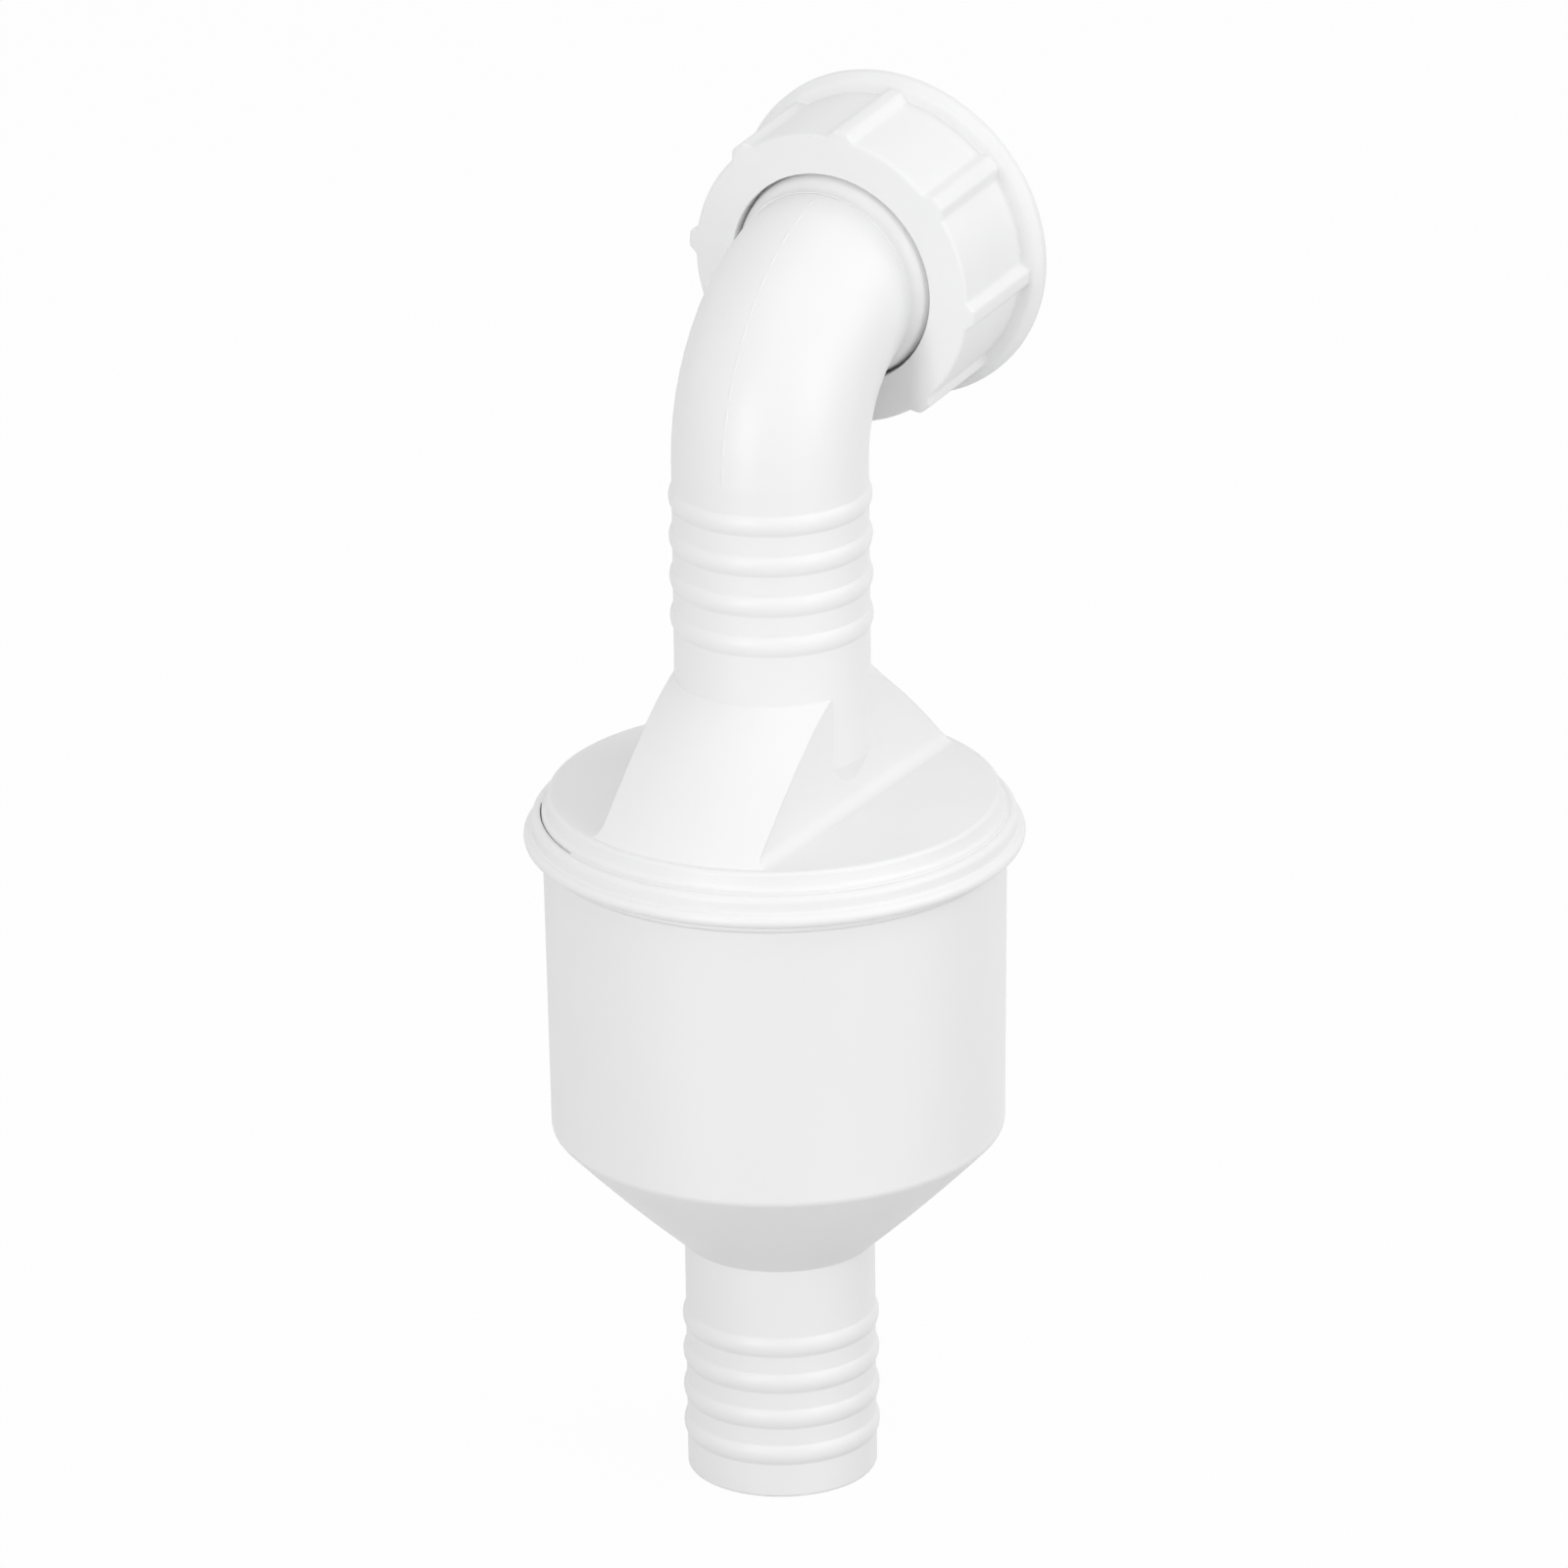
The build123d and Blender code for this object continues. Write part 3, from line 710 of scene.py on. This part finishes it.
def camera_axes(studio):
    """The photo's heading, the direction to its right, the view and its upward direction."""
    heading, tilt = studio.heading, studio.elevation
    flat = Vector((math.cos(heading), math.sin(heading), 0))
    right = Vector((math.sin(heading), -math.cos(heading), 0))
    forward = flat * math.cos(tilt) - Vector((0, 0, 1)) * math.sin(tilt)
    return flat, right, forward, right.cross(forward)


def add_camera(scene, studio):
    """Camera that sees the valve as the photo does."""
    right, forward, up = camera_axes(studio)[1:]
    turned_right = right * math.cos(studio.roll) + up * math.sin(studio.roll)
    turned_up = up * math.cos(studio.roll) - right * math.sin(studio.roll)
    target = right * studio.target_side + Vector((0, 0, studio.target_height))
    data = bpy.data.cameras.new("camera")
    data.sensor_width = 36
    data.lens = studio.lens
    data.clip_end = 50
    camera = bpy.data.objects.new("camera", data)
    scene.collection.objects.link(camera)
    turned = Matrix((turned_right, turned_up, -forward)).transposed()
    place = Matrix.Translation(target - forward * studio.distance)
    camera.matrix_world = place @ turned.to_4x4()
    scene.camera = camera


def add_lamps(scene, studio):
    """Softboxes round the valve, placed by degrees right of the camera and above the level."""
    flat, right = camera_axes(studio)[:2]
    middle = Vector((0, 0, 0.12))
    lamps = (
        ("softbox_left", studio.left, -30, 8, (0.3, 0.6)),
        ("softbox_right", studio.right, 48, 15, (0.3, 0.6)),
        ("softbox_side", studio.side, 85, 30, (0.5, 0.8)),
        ("softbox_top", studio.top, 0, 82, (0.9, 0.9)),
        ("softbox_back", studio.back, 160, 60, (0.8, 0.6)),
    )
    for name, power, side, height, (wide, tall) in lamps:
        data = bpy.data.lights.new(name, "AREA")
        data.shape = "RECTANGLE"
        data.size = wide
        data.size_y = tall
        data.energy = power
        lamp = bpy.data.objects.new(name, data)
        scene.collection.objects.link(lamp)
        side, height = math.radians(side), math.radians(height)
        level = (right * math.sin(side) - flat * math.cos(side)) * math.cos(height)
        lamp.location = middle + (level + Vector((0, 0, math.sin(height)))) * studio.away
        lamp.rotation_euler = (middle - lamp.location).to_track_quat("-Z", "Y").to_euler()


def plain_sight(tree):
    """Light path and the value that is 1 for camera, glossy and transmission rays."""
    path = tree.nodes.new("ShaderNodeLightPath")
    value = path.outputs["Is Camera Ray"]
    for ray in ("Is Glossy Ray", "Is Transmission Ray"):
        either = tree.nodes.new("ShaderNodeMath")
        either.operation = "MAXIMUM"
        tree.links.new(value, either.inputs[0])
        tree.links.new(path.outputs[ray], either.inputs[1])
        value = either.outputs[0]
    return path, value


def mixed(tree, value, first, second):
    """Mix of two shaders by a value."""
    mix = tree.nodes.new("ShaderNodeMixShader")
    tree.links.new(value, mix.inputs["Fac"])
    tree.links.new(first, mix.inputs[1])
    tree.links.new(second, mix.inputs[2])
    return mix.outputs[0]


def add_world(scene, studio):
    """Even light from all sides, seen as plain white."""
    world = bpy.data.worlds.new("even_sky")
    scene.world = world
    world.use_nodes = True
    tree = world.node_tree
    tree.nodes.clear()
    shades = []
    for strength in (studio.sky, 1.0):
        shade = tree.nodes.new("ShaderNodeBackground")
        shade.inputs["Color"].default_value = (1, 1, 1, 1)
        shade.inputs["Strength"].default_value = strength
        shades.append(shade.outputs[0])
    seen = plain_sight(tree)[1]
    output = tree.nodes.new("ShaderNodeOutputWorld")
    tree.links.new(mixed(tree, seen, *shades), output.inputs["Surface"])


def add_floor(context, studio):
    """White floor that keeps a little of the valve's shadow."""
    deselect()
    bpy.ops.mesh.primitive_grid_add(x_subdivisions=8, y_subdivisions=8, size=12,
                                    location=(0, 0, 0))
    floor = context.object
    floor.name = "floor"
    material, tree, shader = new_material("white_floor")
    shader.inputs["Roughness"].default_value = 0.8
    shader.inputs["Specular IOR Level"].default_value = 0.1
    glow = tree.nodes.new("ShaderNodeEmission")
    glow.inputs["Strength"].default_value = 1.0
    path, seen = plain_sight(tree)
    bounce = studio.floor_bounce
    paper = blend(tree, path.outputs["Is Camera Ray"], (bounce, bounce, bounce), (0.9, 0.9, 0.9))
    tree.links.new(paper, shader.inputs["Base Color"])
    part = tree.nodes.new("ShaderNodeMath")
    part.operation = "MULTIPLY"
    part.inputs[1].default_value = 1 - studio.floor_shade
    tree.links.new(seen, part.inputs[0])
    surface = mixed(tree, part.outputs[0], shader.outputs[0], glow.outputs[0])
    tree.links.new(surface, tree.nodes["Material Output"].inputs["Surface"])
    dress(floor, material)


class VALVE_OT_studio(bpy.types.Operator):
    """Set up the white floor, the softboxes, the even sky and the camera"""

    bl_idname = "valve.studio"
    bl_label = "Set up the studio"

    def execute(self, context):
        """Build the stage round the valve."""
        studio = look().studio
        scene = context.scene
        add_camera(scene, studio)
        add_lamps(scene, studio)
        add_world(scene, studio)
        add_floor(context, studio)
        scene.view_settings.view_transform = "Standard"
        return {"FINISHED"}


class ValveLook(bpy.types.PropertyGroup):
    """All settings of the valve's scene."""

    finish: PointerProperty(type=FinishLook)
    nut_size: PointerProperty(type=NutSizes)
    fills: PointerProperty(type=FillSizes)
    marks: PointerProperty(type=MouldMarks)
    studio: PointerProperty(type=StudioLook)


class VALVE_PT_panel(bpy.types.Panel):
    """Panel with the valve's steps and settings"""

    bl_idname = "VALVE_PT_panel"
    bl_label = "Drain non-return valve"
    bl_space_type = "VIEW_3D"
    bl_region_type = "UI"
    bl_category = "Valve"

    def draw(self, context):
        """List the steps, then the settings."""
        for step in STEPS:
            self.layout.operator(step.bl_idname)
        for group in (look().finish, look().nut_size, look().fills, look().marks, look().studio):
            column = self.layout.column(align=True)
            for name in group.__annotations__:
                column.prop(group, name)


STEPS = (VALVE_OT_mouldings, VALVE_OT_union_nut, VALVE_OT_fillets, VALVE_OT_mould_marks,
         VALVE_OT_studio)
CLASSES = (FinishLook, NutSizes, FillSizes, MouldMarks, StudioLook, ValveLook, *STEPS,
           VALVE_PT_panel)


def register():
    """Add the classes and the scene's settings."""
    for item in CLASSES:
        bpy.utils.register_class(item)
    bpy.types.Scene.valve_look = PointerProperty(type=ValveLook)


def unregister():
    """Remove them again."""
    del bpy.types.Scene.valve_look
    for item in reversed(CLASSES):
        bpy.utils.unregister_class(item)


def main():
    """Run every step in order."""
    register()
    bpy.ops.valve.mouldings()
    bpy.ops.valve.union_nut()
    bpy.ops.valve.fillets()
    bpy.ops.valve.mould_marks()
    bpy.ops.valve.studio()


if __name__ == "__main__":
    main()
